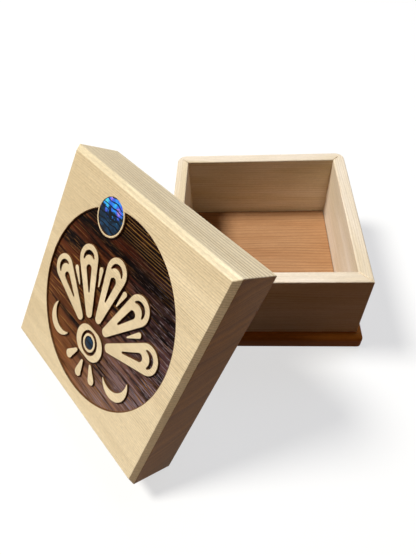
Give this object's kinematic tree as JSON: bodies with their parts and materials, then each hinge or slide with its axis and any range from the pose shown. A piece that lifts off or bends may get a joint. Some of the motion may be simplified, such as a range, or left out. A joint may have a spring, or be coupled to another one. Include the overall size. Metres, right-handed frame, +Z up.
{
  "type": "bentwood box",
  "caption": "Square box of bent and pegged cedar plank on a wider bottom board, with a thick lift-off lid carved in sunk relief with shell inlays, standing off and leaning on the box.",
  "frame": {"origin": "centre of the bottom board's underside, on the table", "axes": "+Z up out of the box's opening, +X along the front wall towards the pegged corner, +Y from the front wall to the back wall"},
  "size_m": [0.195, 0.1909, 0.1054],
  "materials": {
    "yellow_cedar": "sanded, thin satin varnish",
    "red_cedar": "sanded, thin satin varnish",
    "peg_wood": "cut flush and sanded",
    "lid_cedar": "satin varnish, sunk ground stained dark brown",
    "shell": "polished, iridescent"
  },
  "bodies": {
    "box": {"side_plank": "yellow_cedar", "bottom_board": "red_cedar", "corner_peg_1": "peg_wood", "corner_peg_2": "peg_wood", "corner_peg_3": "peg_wood", "corner_peg_4": "peg_wood", "bottom_peg_1": "peg_wood", "bottom_peg_2": "peg_wood", "bottom_peg_3": "peg_wood", "bottom_peg_4": "peg_wood", "bottom_peg_5": "peg_wood", "bottom_peg_6": "peg_wood", "bottom_peg_7": "peg_wood", "bottom_peg_8": "peg_wood"},
    "lid": {"lid_plank": "lid_cedar", "shell_disc": "shell", "shell_inlay": "shell"}
  },
  "joints": [
    {"name": "lid_lift", "type": "slide", "parent": "box", "child": "lid", "axis": [0, 0, 1], "range_m": [0, 0.08]}
  ]
}
